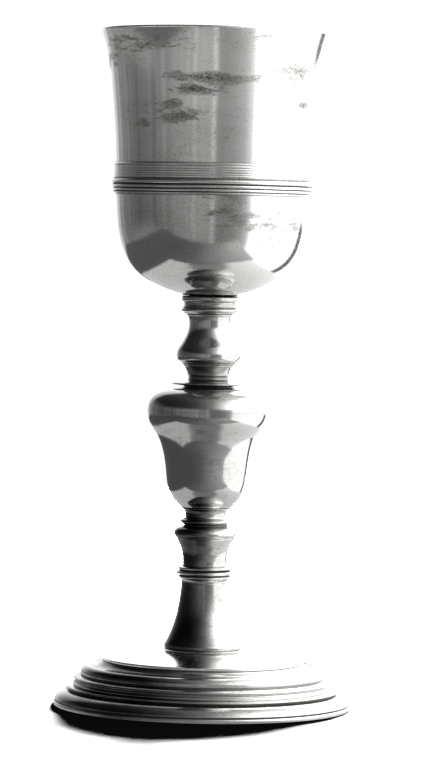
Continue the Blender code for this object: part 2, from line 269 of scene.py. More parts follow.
OUTLINES = {
    "upper_collar": [
        (10.7, 165.0),
        (11.25, 164.8),
        (11.6, 164.35),
        (11.65, 163.8),
        (11.5, 163.2),
        (11.15, 162.8),
        *spline([(10.75, 162.55), (10.5, 162.0), (10.45, 161.3), (10.6, 160.7)], 0.3),
        (11.0, 160.6), (11.0, 160.3), (10.75, 160.15), (11.2, 159.95), (11.6, 159.6),
        (11.7, 159.1), (11.45, 158.65), (10.7, 158.35), (10.2, 157.7),
    ],
    "upper_fillet": [
        (8.9, 157.7),
        (9.3, 157.6),
        (9.45, 157.3),
        (9.35, 157.0),
        (8.9, 156.85),
        (8.8, 156.6),
    ],
    "upper_baluster": spline(
        [
            (8.8, 156.6), (8.5, 155.4), (8.3, 153.2), (8.7, 150.7), (9.9, 147.9), (11.4, 145.4),
            (12.55, 143.4), (13.05, 141.3), (12.85, 139.8), (12.2, 138.8), (11.2, 138.1),
        ],
        0.4,
    ),
    "baluster_ring": [
        (10.7, 138.1),
        (11.0, 137.95),
        (11.0, 137.65),
        (10.6, 137.5),
        (10.35, 137.15),
        (10.35, 136.85),
        *spline([(10.0, 136.6), (9.35, 135.5), (8.85, 134.4), (8.6, 133.7)], 0.4),
        (8.85, 133.55), (8.85, 133.2), (8.45, 133.05), (8.1, 132.5), (8.1, 132.1),
        (8.4, 131.95), (8.45, 131.6), (8.2, 131.4), (8.7, 131.0),
    ],
    "stem_flange": [
        (8.8, 131.0), (9.4, 130.85), (12.2, 130.5), (14.2, 130.1), (14.75, 129.85),
        (14.8, 129.6), (14.5, 129.35), (12.5, 129.1), (10.2, 128.9), (9.8, 128.6),
    ],
    "knop_cap": [
        (9.9, 128.6), (9.7, 128.4), (9.9, 128.15), (12.4, 128.0), (14.6, 127.85),
        (15.4, 127.75), (15.6, 127.5), (16.2, 127.5),
        *spline(
            [
                (16.6, 127.6),
                (18.4, 127.1),
                (20.3, 126.2),
                (21.9, 125.0),
                (23.2, 123.4),
                (24.05, 121.4),
                (24.38, 119.8),
                KNOP_SEAM,
            ],
            0.5,
        ),
    ],
    "knop_body": spline(
        [
            KNOP_SEAM,
            (24.3, 117.0), (23.75, 114.9), (22.6, 112.7), (21.1, 110.4), (19.75, 108.1),
            (18.7, 105.5), (17.9, 102.6), (17.3, 99.4), (16.8, 95.8), (16.3, 92.0),
            (15.65, 88.7), (14.75, 86.1), (13.5, 83.9), (12.1, 82.1), (10.7, 80.7),
            (10.4, 80.2),
        ],
        0.6,
    ),
    "neck_collar": [
        (9.2, 80.2),
        (9.8, 80.05),
        (9.95, 79.75),
        (9.75, 79.45),
        (9.2, 79.25),
        *spline([(8.85, 79.0), (8.35, 78.0), (8.2, 76.9), (8.45, 75.8)], 0.35),
        (8.85, 75.65), (8.85, 75.35), (9.55, 75.2), (10.05, 74.85), (10.15, 74.35),
        (9.95, 73.9), (9.4, 73.6), (8.8, 73.3), (8.8, 72.6),
    ],
    "lower_knop": [
        (9.0, 72.6),
        (9.5, 72.4),
        *spline([(10.2, 72.25), (11.6, 71.6), (12.5, 70.5), (12.65, 69.4), (12.2, 68.4)], 0.35),
        (11.85, 68.25),
        (11.8, 67.7),
        (11.4, 67.45),
        *spline([(11.2, 67.0), (10.35, 65.2), (9.6, 63.3), (9.05, 61.0), (8.85, 57.4)], 0.5),
        (8.95, 56.9),
        (9.0, 56.4),
    ],
    "ring_collar": [
        (9.6, 56.4),
        *bead(9.95, 56.25, 54.95, 0.95),
        (9.9, 54.8),
        *bead(10.25, 54.65, 53.0, 1.2),
        (9.85, 52.85),
        *bead(9.85, 52.7, 51.5, 0.7),
        (9.5, 51.3),
        (9.2, 50.6),
        (9.25, 49.9),
    ],
    "trumpet_stem": [
        *spline(
            [
                (9.25, 49.9), (9.4, 47.8), (9.75, 44.6), (10.35, 40.5), (11.15, 36.6),
                (12.15, 33.2), (13.2, 30.3), (14.3, 27.7), (15.2, 25.9),
            ],
            0.6,
        ),
        (15.55, 25.4),
        (15.75, 24.9),
        (15.8, 24.2),
        (15.6, 23.6),
        (15.3, 23.2),
    ],
    "foot_plate": [
        (3.6, 23.2),
        (16.2, 23.2),
        (16.5, 22.9),
        *spline([(17.6, 22.7), (24.0, 22.05), (31.0, 21.0), (36.0, 20.15), (39.0, 19.65)], 1.2),
        (39.9, 19.55),
        (40.3, 19.25),
        (40.3, 18.5),
        (40.0, 18.0),
    ],
    "foot_shoulder": [
        (40.0, 18.0),
        (40.4, 17.8),
        *spline([(40.7, 17.35), (41.9, 16.5), (43.6, 16.0), (45.4, 15.8)], 0.5),
        (45.9, 15.75),
        (46.1, 16.1),
        *arc(46.4, 13.5, 2.6, 88, 0, 9),
        (49.0, 12.75),
        (48.75, 12.55),
        (48.75, 12.0),
    ],
    "foot_step": [
        (47.6, 12.0), (49.6, 12.0), (50.6, 11.75), (51.5, 11.35), (51.85, 10.95), (51.85, 10.6),
        (51.45, 10.4), (51.25, 9.95), (51.25, 9.5), (51.5, 9.15), (51.9, 8.95), (51.9, 8.4),
        (51.6, 7.9),
    ],
    "foot_skirt": [
        (47.4, 7.9),
        (53.7, 7.9),
        (54.4, 7.75),
        (54.7, 7.4),
        (54.5, 7.0),
        (53.9, 6.75),
        (53.75, 6.45),
        *spline([(54.3, 6.2), (55.9, 5.75), (57.5, 4.9), (58.7, 3.7), (59.2, 2.7)], 0.45),
        (59.3, 2.3),
        (58.9, 2.05),
        (58.9, 1.8),
    ],
    "foot_rim": [
        (58.6, 1.8),
        (59.3, 1.75),
        (59.7, 1.45),
        (59.8, 0.95),
        (59.75, 0.45),
        (59.4, 0.1),
        (58.8, 0.0),
    ],
}
GIRDLE = [
    (39.0, 217.4),
    (39.75, 217.4),
    (40.05, 217.1),
    (40.05, 216.6),
    (39.75, 216.35),
    *scored(39.85, 216.0, 211.6, (215.1, 214.2, 213.2, 212.4)),
    (39.6, 211.3),
    (39.6, 211.05),
    *bead(39.95, 210.9, 209.15, 0.85),
    (39.75, 208.95),
    *bead(39.95, 208.8, 207.55, 0.5, 6),
    (39.75, 207.4),
    *bead(39.85, 207.25, 206.2, 0.45, 6),
    (39.6, 206.05),
    *bead(39.6, 205.9, 205.2, 0.35, 5),
    (39.0, 205.2),
]

# Radii of the hole through the stack, and of the wells for the socket's sleeve and for its head.
STACK_BORE = 3.6
SOCKET_WELL = 5.8
HEAD_WELL = 8.6
SOCKET_HEAD_FOOT = 159.1


def bored(node, radius):
    """A straight bore through the piece, from its foot to its top."""
    outer = OUTLINES[node]
    return [(radius, outer[-1][1]), (radius, outer[0][1])]


# The inner side of each piece that is more than bored for the rod, from its foot up.
INNER = {
    "upper_collar": [
        (SOCKET_WELL, 157.7),
        (SOCKET_WELL, SOCKET_HEAD_FOOT),
        (HEAD_WELL, SOCKET_HEAD_FOOT),
        (HEAD_WELL, 164.62),
    ],
    "upper_fillet": bored("upper_fillet", SOCKET_WELL),
    "upper_baluster": bored("upper_baluster", SOCKET_WELL),
    "foot_plate": [
        (39.0, 18.0),
        (38.6, 18.5),
        (32.0, 19.9),
        (24.0, 21.0),
        (16.4, 22.0),
        (STACK_BORE, 22.0),
    ],
    "foot_shoulder": [
        (47.4, 12.0),
        (47.3, 13.2),
        (46.0, 14.3),
        (42.4, 14.7),
        (39.4, 16.3),
        (38.8, 18.0),
    ],
    "foot_step": [(47.6, 7.9)],
    "foot_skirt": [(57.6, 1.8), (56.3, 3.4), (52.6, 5.4), (47.4, 6.3)],
    "foot_rim": [(56.2, 0.0), (56.2, 1.8)],
    "knop_cap": [
        *[(r, max(z, KNOP_SEAM[1])) for r, z in inset(OUTLINES["knop_cap"][8:], SHELL_WALL)],
        (STACK_BORE, 126.2),
        (STACK_BORE, 128.6),
    ],
    "knop_body": [(STACK_BORE, 80.2), *inset(OUTLINES["knop_body"][:-6], SHELL_WALL)],
    "trumpet_stem": [
        *inset(OUTLINES["trumpet_stem"][:-3], SHELL_WALL),
        (STACK_BORE, 48.0),
        (STACK_BORE, 49.9),
    ],
}
FOOT = ("foot_plate", "foot_shoulder", "foot_step", "foot_skirt", "foot_rim")
# Out to this radius in millimetres, a foot piece is hidden by the piece above it.
HIDDEN = {"foot_plate": 16.0, "foot_skirt": 51.0, "foot_step": 48.5}
HIDDEN_STEM = 8.0
# How far the top collar rises past its CAD node to close the gap below the bowl.
COLLAR_RISE = 0.82
# How far hand work strays from round, in millimetres.
STEM_STRAY = 0.02
GIRDLE_STRAY = 0.03
BOWL_STRAY = 0.05
GIRDLE_CORNER = 0.1
# The round of the bowl's lip, and the angles that it turns through.
LIP_ROUND = 0.62
LIP_TURN = (165, -12)

# Smudges of tarnish on the bowl: azimuth from the front in degrees, height, half-width in degrees,
# half-height and depth. Heights are in millimetres.
SMUDGES = (
    (0, 250.6, 25, 2.3, 1.15),
    (8, 252.8, 14, 0.9, 0.7),
    (-10, 246.2, 15, 2.3, 1.15),
    (-23, 240.2, 6, 2.0, 1.0),
    (-9, 241.2, 5, 1.0, 0.6),
    (-18, 235.6, 12, 2.3, 1.1),
    (-24, 251.5, 9, 1.0, 0.5),
    (50, 253.5, 22, 5.5, 1.05),
    (60, 241.0, 9, 2.2, 1.2),
    (19, 266.4, 10, 1.8, 0.65),
    (-50, 264.0, 30, 3.4, 0.72),
    (-30, 262.6, 12, 1.4, 0.6),
    (-70, 258.0, 9, 3.0, 0.7),
    (13, 198.0, 12, 6.5, 0.85),
    (12, 204.2, 13, 1.4, 0.9),
    (50, 192.0, 16, 9.0, 0.62),
    (-46, 232.0, 10, 2.6, 0.55),
    (-38, 240.0, 5, 1.2, 0.5),
    (118, 246.0, 22, 3.0, 0.8),
    (150, 259.0, 16, 2.2, 0.7),
    (-150, 238.0, 20, 2.6, 0.8),
    (-112, 256.0, 15, 2.0, 0.7),
    (172, 203.0, 24, 3.2, 0.7),
    (-135, 194.0, 14, 5.0, 0.6),
    (95, 190.0, 12, 4.0, 0.6),
)
# How many half-widths and half-heights a smudge fades over, and how far in it is at its darkest.
SMUDGE_FADE = (1.5, 1.6)
SMUDGE_REACH = 1.15

shaped = {}
for node, outer in OUTLINES.items():
    whole = soften(list(outer) + list(INNER.get(node) or bored(node, STACK_BORE)))
    reach = 0.0 if node == "foot_rim" else GAP
    rise = COLLAR_RISE if node == "upper_collar" else 0.0
    shaped[node] = fitted(whole, node, reach, rise)
girdle_shape = fitted(soften(GIRDLE, GIRDLE_CORNER), "cup_girdle")

# Everything that can stand over a recess: the outer sides of all the pieces.
silhouette = np.concatenate(
    [
        fitted(BOWL, "cup_bowl"),
        girdle_shape[:-1],
        *[s[s[:, 0] > HIDDEN.get(node, HIDDEN_STEM) * MM] for node, s in shaped.items()],
    ]
)


def turned_silver(name, shape, segments, stray, inside=None):
    """A lathed piece that carries the recesses and edges where its tarnish differs.

    The bowl marks the points of its inside, and its outline ends on the axis.
    """
    recess, edge = relief(shape, silhouette)
    layers = {"recess": recess, "edge": edge}
    if inside is not None:
        layers["recess"] = recess * (1 - inside)
        layers["inside"] = inside
    return lathe(name, shape, segments, stray * MM, layers, closed=inside is None)


def bowl():
    """The bowl: outer wall, a lip worn round, and the inner wall back to the axis."""
    inner = inset(BOWL, BOWL_WALL)[:-1]
    inner[0] = (0.0, inner[0][1])
    lip = arc(BOWL[0][0] - LIP_ROUND, BOWL[0][1] - LIP_ROUND, LIP_ROUND, *LIP_TURN)
    outline = fitted(inner + lip + BOWL[1:], "cup_bowl")
    inside = np.zeros(len(outline))
    inside[: len(inner)] = 1.0
    return turned_silver("cup_bowl_raised", outline, WIDE, BOWL_STRAY, inside)


def smudge(obj):
    """Store how deeply tarnish lies on the bowl's outer side."""
    count = len(obj.data.vertices)
    co, inner_side = np.zeros(count * 3, np.float32), np.zeros(count, np.float32)
    obj.data.vertices.foreach_get("co", co)
    obj.data.attributes["inside"].data.foreach_get("value", inner_side)
    x, y, z = co.reshape(-1, 3).T
    azimuth = np.degrees(np.arctan2(x, -y))
    found = np.zeros(count)
    for centre, height, wide, tall, depth in SMUDGES:
        turn = (azimuth - centre + 180) % 360 - 180
        across, up = turn / (wide * SMUDGE_FADE[0]), (z / MM - height) / (tall * SMUDGE_FADE[1])
        found = np.maximum(found, depth * np.clip(SMUDGE_REACH - np.hypot(across, up), 0, 1))
    store(obj.data, "smudge", found * (1 - inner_side))


made = {}
for node, shape in shaped.items():
    made[node] = turned_silver(node + "_turned", shape, WIDE if node in FOOT else SLIM, STEM_STRAY)
made["cup_girdle"] = turned_silver("cup_girdle_reeded", girdle_shape, WIDE, GIRDLE_STRAY)
made["cup_bowl"] = bowl()
smudge(made["cup_bowl"])


# ---------------------------------------------------------------- the screwed fixings

PITCH = 1.5
THREAD_R = 3.0
THREAD_DEPTH = 0.42
THREAD_STEPS = 8
# A threaded end narrows to this radius, and the thread stops short of it by so much on the spigot
# and on the rod.
TIP_R = THREAD_R - 0.8
TIP_LENGTH = 0.7
ROD_TIP_LENGTH = 0.6
# The rod's plain shank, and how far from its ends the threads reach.
SHANK_R = THREAD_R - 0.1
SHANK_TAPER = 0.4
UPPER_THREAD = 12.0
LOWER_THREAD = 16.0
# The disc of the bowl's boss.
DISC_THICK = 1.8
DISC_CHAMFER = 0.3
UNDERCUT = 0.5
# The socket: its head, its sleeve and its tapped bore.
SOCKET_HEAD_R = 8.2
SOCKET_HEAD = 1.3
SLEEVE_R = 5.2
TAPPED_R = 3.5
WASHER_R = 13.5
LEATHER_R = 7.9
LEATHER_BULGE = 0.05
NUT_BORE = 3.1
NUT_CHAMFER = 0.5
# The nut's corners are cut off at this share of its half-width.
NUT_CORNER = 1.33


def thread_rings(radius, top, foot):
    """Vertex rings of a screw thread that runs out smoothly at both ends."""
    rows = []
    count = int(round((top - foot) / PITCH * THREAD_STEPS)) + THREAD_STEPS + 1
    for k in range(count):
        row = []
        for j in range(THREADED):
            turn = j / THREADED
            z = top + PITCH - k * PITCH / THREAD_STEPS - turn * PITCH
            phase = (k % THREAD_STEPS) / THREAD_STEPS
            cut = THREAD_DEPTH * abs(2 * phase - 1)
            fade = min(1.0, max(0.0, (top - z) / PITCH), max(0.0, (z - foot) / PITCH))
            z = min(top, max(foot, z))
            row.append((radius - THREAD_DEPTH + (THREAD_DEPTH - cut) * fade, turn, z))
        rows.append(row)
    return rows


def skin(name, rows, pierced):
    """A mesh through rings of (radius, turn, height): capped, or pierced and joined end to end."""
    bm = bmesh.new()
    grid = []
    for row in rows:
        ring = []
        for r, turn, z in row:
            a = 2 * math.pi * turn
            ring.append(bm.verts.new((r * MM * math.cos(a), r * MM * math.sin(a), z * MM)))
        grid.append(ring)
    for upper, lower in zip(grid, grid[1:] + (grid[:1] if pierced else [])):
        for j in range(len(upper)):
            k = (j + 1) % len(upper)
            bm.faces.new((upper[j], lower[j], lower[k], upper[k]))
    if not pierced:
        bm.faces.new(grid[0])
        bm.faces.new(grid[-1][::-1])
    bmesh.ops.remove_doubles(bm, verts=bm.verts, dist=TINY)
    bmesh.ops.dissolve_degenerate(bm, edges=bm.edges, dist=TINY)
    bmesh.ops.recalc_face_normals(bm, faces=bm.faces)
    mesh = bpy.data.meshes.new(name)
    bm.to_mesh(mesh)
    bm.free()
    return mesh_object(name, mesh)


def threaded(name, lengths):
    """A bar from top to foot: (radius, height) rings and (radius, top, foot) threads."""
    rows = []
    for length in lengths:
        if len(length) == 2:
            r, z = length
            rows.append([(r, j / THREADED, z) for j in range(THREADED)])
        else:
            rows += thread_rings(*length)
    return skin(name, rows, pierced=False)


def heights(node):
    """The foot and top of a node's box, in millimetres."""
    low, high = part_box(node)
    return low.z / MM, high.z / MM


def boss():
    """The disc soldered under the bowl, with its threaded spigot."""
    foot, top = heights("bowl_boss")
    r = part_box("bowl_boss")[1].x / MM
    disc_foot = top - DISC_THICK
    return threaded(
        "bowl_boss_turned",
        [
            (r - DISC_CHAMFER, top),
            (r, top - DISC_CHAMFER),
            (r, disc_foot + DISC_CHAMFER),
            (r - DISC_CHAMFER, disc_foot),
            (THREAD_R + UNDERCUT, disc_foot),
            (THREAD_R - THREAD_DEPTH, disc_foot - UNDERCUT),
            (THREAD_R, disc_foot - TIP_LENGTH, foot + TIP_LENGTH),
            (TIP_R, foot),
        ],
    )


def rod():
    """The tie rod: threaded at both ends, with a plain shank between."""
    foot, top = heights("tie_rod")
    return threaded(
        "tie_rod_turned",
        [
            (TIP_R, top),
            (THREAD_R, top - ROD_TIP_LENGTH, top - UPPER_THREAD),
            (SHANK_R, top - UPPER_THREAD - SHANK_TAPER),
            (SHANK_R, foot + LOWER_THREAD + SHANK_TAPER),
            (THREAD_R, foot + LOWER_THREAD, foot + ROD_TIP_LENGTH),
            (TIP_R, foot),
        ],
    )


def turned_ring(name, node, outline, bore, corner=0.2):
    """A ring from its outer side and its bore, with worn corners. Heights are shares of its own."""
    foot, top = heights(node)
    p = [(r, foot + share * (top - foot)) for r, share in outline]
    return lathe(name, fitted(soften([*p, (bore, foot), (bore, top)], corner), node), SMALL)


def socket():
    """The tapped sleeve, whose head clamps the pieces of the stem."""
    foot, top = heights("stem_socket")
    head = 1.0 - SOCKET_HEAD / (top - foot)
    outline = [(SOCKET_HEAD_R, 1.0), (SOCKET_HEAD_R, head), (SLEEVE_R, head), (SLEEVE_R, 0.0)]
    return turned_ring("stem_socket_tapped", "stem_socket", outline, TAPPED_R)


def square_nut():
    """The square nut: crowned corners on its lower face, with a chamfered round bore."""
    foot, top = heights("tie_nut")
    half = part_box("tie_nut")[1].x / MM
    bore, chamfer = NUT_BORE, NUT_CHAMFER
    turns = [j / SQUARE for j in range(SQUARE)]

    def flats(z, inset_by, crown=math.inf):
        """A ring round the four flats, brought in at the edges and at the crowned corners."""
        row = []
        for turn in turns:
            a = 2 * math.pi * turn
            square = (half - inset_by) / max(abs(math.cos(a)), abs(math.sin(a)))
            row.append((min(square, half * NUT_CORNER - inset_by * 1.2, crown), turn, z))
        return row

    def hole(z, r):
        """A round ring of the bore."""
        return [(r, turn, z) for turn in turns]

    # Down the flats from top to foot, then up through the bore.
    rows = [
        flats(top, 0.3),
        flats(top - 0.3, 0.0),
        flats(foot + 1.1, 0.0),
        flats(foot + 0.5, 0.05, half * 1.16),
        flats(foot, 0.25, half * 0.98),
        hole(foot, bore + chamfer),
        hole(foot + chamfer, bore),
        hole(top - chamfer, bore),
        hole(top, bore + chamfer),
    ]
    return skin("tie_nut_square", rows, pierced=True)


made["bowl_boss"] = boss()
made["tie_rod"] = rod()
made["stem_socket"] = socket()
made["foot_washer"] = turned_ring(
    "foot_washer_turned",
    "foot_washer",
    [(WASHER_R, 1.0), (WASHER_R, 0.0)],
    STACK_BORE,
    corner=0.4,
)
made["seat_washer"] = turned_ring(
    "seat_washer_cut",
    "seat_washer",
    [(LEATHER_R, 1.0), (LEATHER_R + LEATHER_BULGE, 0.5), (LEATHER_R, 0.0)],
    STACK_BORE,
)
made["tie_nut"] = square_nut()


# ---------------------------------------------------------------- materials


class Nodes:
    """Short calls for a material's or the world's node tree."""

    def __init__(self, tree):
        self.tree = tree
        self.object_coords = None

    def add(self, kind, **values):
        """A new node with the given settings."""
        node = self.tree.nodes.new(kind)
        for key, value in values.items():
            setattr(node, key, value)
        return node

    def link(self, value, socket):
        """Feed a socket from another socket, or set it to a value."""
        if isinstance(value, bpy.types.NodeSocket):
            self.tree.links.new(value, socket)
        else:
            socket.default_value = value

    def math(self, operation, a, b=0.0, clamp=False):
        """One step of arithmetic on one or two values."""
        node = self.add("ShaderNodeMath", operation=operation, use_clamp=clamp)
        self.link(a, node.inputs[0])
        self.link(b, node.inputs[1])
        return node.outputs[0]

    def plus(self, value, extra, share):
        """The value, with a share of another added."""
        return self.math("ADD", value, self.math("MULTIPLY", extra, share))

    def remap(self, value, low, high, to_low=0.0, to_high=1.0):
        """A smooth step of the value from one range to another."""
        node = self.add("ShaderNodeMapRange", interpolation_type="SMOOTHSTEP")
        for i, x in enumerate((value, low, high, to_low, to_high)):
            self.link(x, node.inputs[i])
        return node.outputs[0]

    def coords(self):
        """The object's own coordinates, in metres."""
        if self.object_coords is None:
            self.object_coords = self.add("ShaderNodeTexCoord").outputs["Object"]
        return self.object_coords

    def axes(self, vector):
        """A vector's three parts."""
        node = self.add("ShaderNodeSeparateXYZ")
        self.link(vector, node.inputs[0])
        return node.outputs

    def place(self, scale, shift):
        """The object's coordinates, scaled and shifted."""
        node = self.add("ShaderNodeMapping")
        self.link(self.coords(), node.inputs["Vector"])
        node.inputs["Scale"].default_value = scale
        node.inputs["Location"].default_value = shift
        return node.outputs[0]

    def length(self, vector):
        """How long a vector is."""
        node = self.add("ShaderNodeVectorMath", operation="LENGTH")
        self.link(vector, node.inputs[0])
        return node.outputs["Value"]

    def noise(self, scale, stretch=(1, 1, 1), detail=4.0, rough=0.55, seed=0.0, warp=0.0):
        """Procedural noise through the object, finer along an axis with more stretch."""
        node = self.add("ShaderNodeTexNoise")
        self.link(self.place(stretch, (seed, seed * 0.7, seed * 1.3)), node.inputs["Vector"])
        node.inputs["Scale"].default_value = scale
        node.inputs["Detail"].default_value = detail
        node.inputs["Roughness"].default_value = rough
        node.inputs["Distortion"].default_value = warp
        return node.outputs["Fac"]

    def layer(self, name):
        """One of the numbers that the mesh keeps for each vertex."""
        return self.add("ShaderNodeAttribute", attribute_name=name).outputs["Fac"]

    def mix(self, factor, a, b):
        """From colour a to colour b."""
        node = self.add("ShaderNodeMix", data_type="RGBA")
        self.link(factor, node.inputs[0])
        self.link(a, node.inputs[6])
        self.link(b, node.inputs[7])
        return node.outputs[2]

    def blend(self, factor, a, b):
        """From number a to number b."""
        node = self.add("ShaderNodeMix", data_type="FLOAT")
        self.link(factor, node.inputs[0])
        self.link(a, node.inputs[2])
        self.link(b, node.inputs[3])
        return node.outputs[0]

    def bump(self, height, depth, strength=1.0, under=None):
        """A relief of the given depth in metres, over another if one is given."""
        node = self.add("ShaderNodeBump")
        node.inputs["Strength"].default_value = strength
        node.inputs["Distance"].default_value = depth
        self.link(height, node.inputs["Height"])
        if under is not None:
            self.link(under, node.inputs["Normal"])
        return node.outputs[0]


def new_material(name):
    """A material, its nodes and its main shader."""
    material = bpy.data.materials.new(name)
    material.use_nodes = True
    return material, Nodes(material.node_tree), material.node_tree.nodes["Principled BSDF"]


CLEAN_SILVER = (0.96, 0.955, 0.94)
DULL_SILVER = (0.62, 0.61, 0.585)
TARNISH = (0.15, 0.143, 0.132)
# A dark colour mixed into the silver: how much of it lies low on the bowl, which is simply darker
# towards the bottom, and on the left of some pieces, where it is painted shade.
DARKENING_AND_SHADE = (0.02, 0.0195, 0.0185, 1)
BOWL_DARKENING = 0.46
BOWL_DARKENING_FROM = 0.165
BOWL_DARKENING_TO = 0.262
PAINTED_SIDE_SHADE = 0.86
# How deep the relief goes, in metres: hammering, pits and turning lines, and tarnish.
HAMMERED = 0.16 * MM
FINE_RELIEF = 0.012 * MM
TARNISH_RELIEF = 0.03 * MM
ROUGHEST = 0.7


def smudged_tarnish(n, grain, seed):
    """The bowl's dark patches with ragged edges, and how black they are."""
    smudge = n.layer("smudge")
    ragged = n.noise(85, (1, 1, 3.2), 8, 0.72, seed + 13, 0.3)
    dark = n.remap(n.plus(smudge, n.math("SUBTRACT", ragged, 0.5), 4.2), 0.3, 0.9)
    dark = n.math("MULTIPLY", dark, n.remap(smudge, 0.02, 0.25))
    dark = n.math("MULTIPLY", dark, n.remap(grain, 0.36, 0.6, 0.72, 1.15))
    return dark, n.remap(smudge, 0.7, 1.3, 0.62, 0.97)


def darkened_low_and_shaded_left(n, colour, patches, smudged, painted_shade_left):
    """The silver's colour with a dark colour mixed in: the bowl darker towards the bottom and
    clearing towards its lip, and painted shade on the left of some pieces.
    """
    if smudged:
        # The bowl is darker towards the bottom, clearing towards its lip.
        height = n.axes(n.coords())["Z"]
        darkening = n.remap(height, BOWL_DARKENING_FROM, BOWL_DARKENING_TO, BOWL_DARKENING, 0.0)
        colour = n.mix(darkening, colour, DARKENING_AND_SHADE)
    # Painted shade: the colour darkens towards the piece's left side.
    if painted_shade_left:
        darkening = n.remap(n.axes(n.coords())["X"], 0.3 * painted_shade_left, -0.5 * painted_shade_left, 0.0, PAINTED_SIDE_SHADE)
        darkening = n.math("MULTIPLY", darkening, n.remap(patches, 0.35, 0.6, 0.85, 1.1), clamp=True)
        colour = n.mix(darkening, colour, DARKENING_AND_SHADE)
    return colour


def aged_and_shaded_silver(name, tone_and_shade, patina, polish, lines, seed, smudged=False, painted_shade_left=None):
    """Hand-polished silver: bright where it is rubbed, tarnished in its recesses and patches.

    Tone is how much light the piece lets back, partly for tarnish and partly as painted shade;
    patina is how patchy it is, polish its least roughness and lines how deep its turning lines
    are. The last argument is the radius in metres of a piece whose left side gets painted shade.
    """
    material, n, shader = new_material(name)
    patches = n.noise(34, (1, 1, 1.7), 7, 0.62, seed, 0.5)
    streaks = n.noise(80, (1, 1, 8), 6, 0.62, seed + 3)
    grain = n.noise(900, (1, 1, 1.6), 3, 0.7, seed + 5)
    turning = n.noise(60, (1, 1, 46), 3, 0.7, seed + 7)
    pits = n.noise(420, (1, 1, 1), 2, 0.5, seed + 9)
    waves = n.noise(46, (1, 1, 1), 1, 0.4, seed + 11)
    if smudged:
        dark, worn = smudged_tarnish(n, grain, seed)
    else:
        dark = n.remap(n.noise(170, (1, 1, 2.2), 7, 0.75, seed + 13), 0.57, 0.72)
        worn = 0.6

    rubbed = n.remap(n.layer("edge"), 0.25, 0.7)
    keep = n.math("SUBTRACT", 1.0, n.math("MULTIPLY", rubbed, 0.75), clamp=True)
    haze = n.remap(patches, 0.44, 0.74, 0.0, 0.8)
    haze = n.math("ADD", haze, n.remap(streaks, 0.5, 0.72, 0.0, 0.45))
    haze = n.math("MULTIPLY", haze, patina)
    speck = n.remap(grain, 0.48, 0.68, 0.0, 0.75)
    haze = n.plus(haze, speck, n.remap(patches, 0.4, 0.6, 0.35, 1.0))
    haze = n.math("MULTIPLY", haze, keep, clamp=True)
    deep = n.remap(n.plus(n.layer("recess"), grain, 0.25), 0.3, 0.95)
    heavy = n.math("MAXIMUM", n.math("MULTIPLY", deep, 0.9), n.math("MULTIPLY", dark, worn))
    heavy = n.math("MULTIPLY", heavy, keep, clamp=True)
    # Tone darkens every colour of the silver, partly for tarnish and partly as painted shade.
    clean, dull, black = (
        tuple(tone_and_shade * c for c in shade) + (1,) for shade in (CLEAN_SILVER, DULL_SILVER, TARNISH)
    )
    colour = n.mix(heavy, n.mix(haze, clean, dull), black)
    n.link(darkened_low_and_shaded_left(n, colour, patches, smudged, painted_shade_left), shader.inputs["Base Color"])
    shader.inputs["Metallic"].default_value = 1.0

    rough = n.plus(polish, haze, 0.1)
    rough = n.plus(rough, heavy, 0.28)
    rough = n.plus(rough, n.remap(turning, 0.35, 0.7), 0.05)
    if smudged:
        rough = n.plus(rough, n.layer("inside"), 0.16)
    n.link(n.math("MINIMUM", rough, ROUGHEST), shader.inputs["Roughness"])

    normal = n.bump(waves, HAMMERED, 0.5)
    normal = n.bump(turning, FINE_RELIEF * lines, 0.6, normal)
    normal = n.bump(pits, FINE_RELIEF, 0.5, normal)
    normal = n.bump(heavy, TARNISH_RELIEF, 0.5, normal)
    n.link(normal, shader.inputs["Normal"])
    return material


def aged_brass(name, seed):
    """Machined brass that has dulled under cover."""
    material, n, shader = new_material(name)
    patches = n.noise(120, (1, 1, 1), 6, 0.6, seed)
    turning = n.noise(220, (1, 1, 16), 3, 0.6, seed + 2)
    grime = n.remap(patches, 0.42, 0.7, 0.0, 0.85)
    colour = n.mix(grime, (0.66, 0.49, 0.22, 1), (0.25, 0.17, 0.08, 1))
    n.link(colour, shader.inputs["Base Color"])
    shader.inputs["Metallic"].default_value = 1.0
    rough = n.plus(n.plus(0.28, grime, 0.26), turning, 0.08)
    n.link(rough, shader.inputs["Roughness"])
    normal = n.bump(turning, 0.02 * MM, 0.7)
    n.link(n.bump(patches, 0.03 * MM, 0.4, normal), shader.inputs["Normal"])
    return material


def leather():
    """Compressed brown leather with a fine pebbled grain."""
    material, n, shader = new_material("leather_washer")
    grain = n.noise(1400, (1, 1, 1), 4, 0.6, 21.0)
    blotch = n.noise(200, (1, 1, 1), 4, 0.5, 23.0)
    colour = n.mix(n.remap(blotch, 0.3, 0.7), (0.2, 0.11, 0.06, 1), (0.09, 0.05, 0.03, 1))
    n.link(colour, shader.inputs["Base Color"])
    n.link(n.remap(grain, 0.3, 0.7, 0.6, 0.85), shader.inputs["Roughness"])
    n.link(n.bump(grain, 0.06 * MM, 0.8), shader.inputs["Normal"])
    return material


